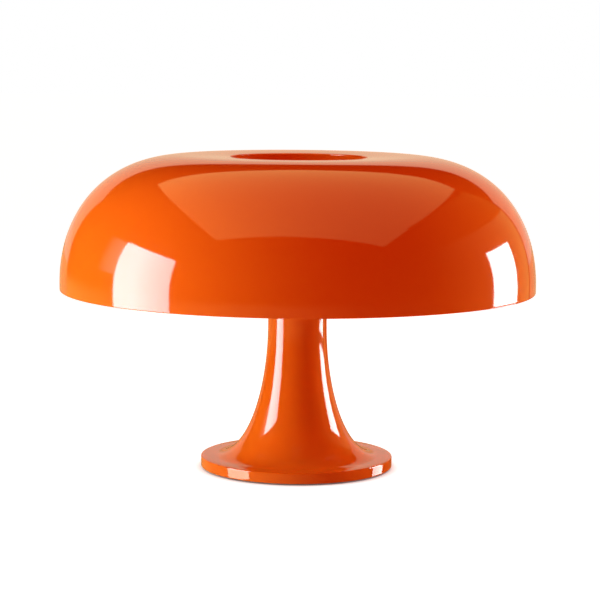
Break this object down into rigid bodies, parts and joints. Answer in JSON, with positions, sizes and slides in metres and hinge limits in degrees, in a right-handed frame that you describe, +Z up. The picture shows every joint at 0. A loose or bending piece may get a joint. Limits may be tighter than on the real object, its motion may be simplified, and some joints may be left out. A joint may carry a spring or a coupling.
{
  "type": "mushroom table lamp",
  "caption": "Mushroom table lamp: glossy orange dome shade with a round well in its top, on a trumpet stem with a flat round foot and a ring of small globe bulbs under the dome.",
  "frame": {"origin": "middle of the foot, on the surface that the lamp stands on", "axes": "+Z up along the stem, +Y to the rear where the cord inlet is, +X to the right seen from the front"},
  "size_m": [0.32, 0.32, 0.212],
  "materials": {
    "orange_plastic": "high gloss moulded",
    "zinc_steel": "zinc plated",
    "felt": "pressed felt",
    "cast_iron": "as cast",
    "black_rubber": "moulded",
    "ivory_plastic": "moulded",
    "black_phenolic": "moulded",
    "brass": "turned",
    "lead_sleeve": "sleeved",
    "bulb_glass": "lightly frosted",
    "filament": "drawn wire",
    "nickel_cap": "nickel plated",
    "black_glass": "black glass",
    "solder_tip": "soldered"
  },
  "bodies": {
    "root": {"stem": "orange_plastic", "base_plate": "zinc_steel", "felt_ring": "felt", "base_screws": "zinc_steel", "ballast": "cast_iron", "ballast_screws": "zinc_steel", "cord_bushing": "black_rubber", "terminal_block": "ivory_plastic", "terminal_inserts": "brass", "terminal_screws": "zinc_steel", "terminal_fixing_screw": "zinc_steel", "supply_leads": "lead_sleeve", "threaded_tube": "brass", "lower_washer": "zinc_steel", "lower_nut": "brass", "upper_washer": "zinc_steel", "upper_nut": "brass", "carrier": "zinc_steel", "shade_pads": "black_rubber", "jumper_leads_1": "lead_sleeve", "jumper_leads_2": "lead_sleeve", "jumper_leads_3": "lead_sleeve", "holder_body_1": "black_phenolic", "holder_body_2": "black_phenolic", "holder_body_3": "black_phenolic", "holder_body_4": "black_phenolic", "holder_shell_1": "brass", "holder_shell_2": "brass", "holder_shell_3": "brass", "holder_shell_4": "brass", "holder_contact_1": "brass", "holder_contact_2": "brass", "holder_contact_3": "brass", "holder_contact_4": "brass", "holder_nut_1": "zinc_steel", "holder_nut_2": "zinc_steel", "holder_nut_3": "zinc_steel", "holder_nut_4": "zinc_steel"},
    "shade": {"shade": "orange_plastic"},
    "bulb_tip_1": {"bulb_tip_1": "solder_tip"},
    "bulb_1": {"bulb_glass_1": "bulb_glass", "bulb_filament_1": "filament", "bulb_cap_1": "nickel_cap", "bulb_insulator_1": "black_glass"},
    "bulb_tip_2": {"bulb_tip_2": "solder_tip"},
    "bulb_2": {"bulb_glass_2": "bulb_glass", "bulb_filament_2": "filament", "bulb_cap_2": "nickel_cap", "bulb_insulator_2": "black_glass"},
    "bulb_tip_3": {"bulb_tip_3": "solder_tip"},
    "bulb_3": {"bulb_glass_3": "bulb_glass", "bulb_filament_3": "filament", "bulb_cap_3": "nickel_cap", "bulb_insulator_3": "black_glass"},
    "bulb_tip_4": {"bulb_tip_4": "solder_tip"},
    "bulb_4": {"bulb_glass_4": "bulb_glass", "bulb_filament_4": "filament", "bulb_cap_4": "nickel_cap", "bulb_insulator_4": "black_glass"}
  },
  "joints": [
    {"name": "shade_lift", "type": "slide", "parent": "root", "child": "shade", "axis": [0, 0, 1], "range_m": [0, 0.12]},
    {"name": "bulb_out_1", "type": "slide", "parent": "root", "child": "bulb_tip_1", "axis": [1, 0, 0], "range_m": [0, 0.0099]},
    {"name": "bulb_turn_1", "type": "hinge", "parent": "bulb_tip_1", "child": "bulb_1", "pos_m": [0.05, 0, 0.15], "axis": [1, 0, 0], "range_deg": [0, 1260]},
    {"name": "bulb_out_2", "type": "slide", "parent": "root", "child": "bulb_tip_2", "axis": [0, 1, 0], "range_m": [0, 0.0099]},
    {"name": "bulb_turn_2", "type": "hinge", "parent": "bulb_tip_2", "child": "bulb_2", "pos_m": [0, 0.05, 0.15], "axis": [0, 1, 0], "range_deg": [0, 1260]},
    {"name": "bulb_out_3", "type": "slide", "parent": "root", "child": "bulb_tip_3", "axis": [-1, 0, 0], "range_m": [0, 0.0099]},
    {"name": "bulb_turn_3", "type": "hinge", "parent": "bulb_tip_3", "child": "bulb_3", "pos_m": [-0.05, 0, 0.15], "axis": [-1, 0, 0], "range_deg": [0, 1260]},
    {"name": "bulb_out_4", "type": "slide", "parent": "root", "child": "bulb_tip_4", "axis": [0, -1, 0], "range_m": [0, 0.0099]},
    {"name": "bulb_turn_4", "type": "hinge", "parent": "bulb_tip_4", "child": "bulb_4", "pos_m": [0, -0.05, 0.15], "axis": [0, -1, 0], "range_deg": [0, 1260]}
  ],
  "couplings": [
    {"joint": "bulb_out_1", "follows": "bulb_turn_1", "m_per_rad": 0.00044882},
    {"joint": "bulb_out_2", "follows": "bulb_turn_2", "m_per_rad": 0.00044882},
    {"joint": "bulb_out_3", "follows": "bulb_turn_3", "m_per_rad": 0.00044882},
    {"joint": "bulb_out_4", "follows": "bulb_turn_4", "m_per_rad": 0.00044882}
  ]
}
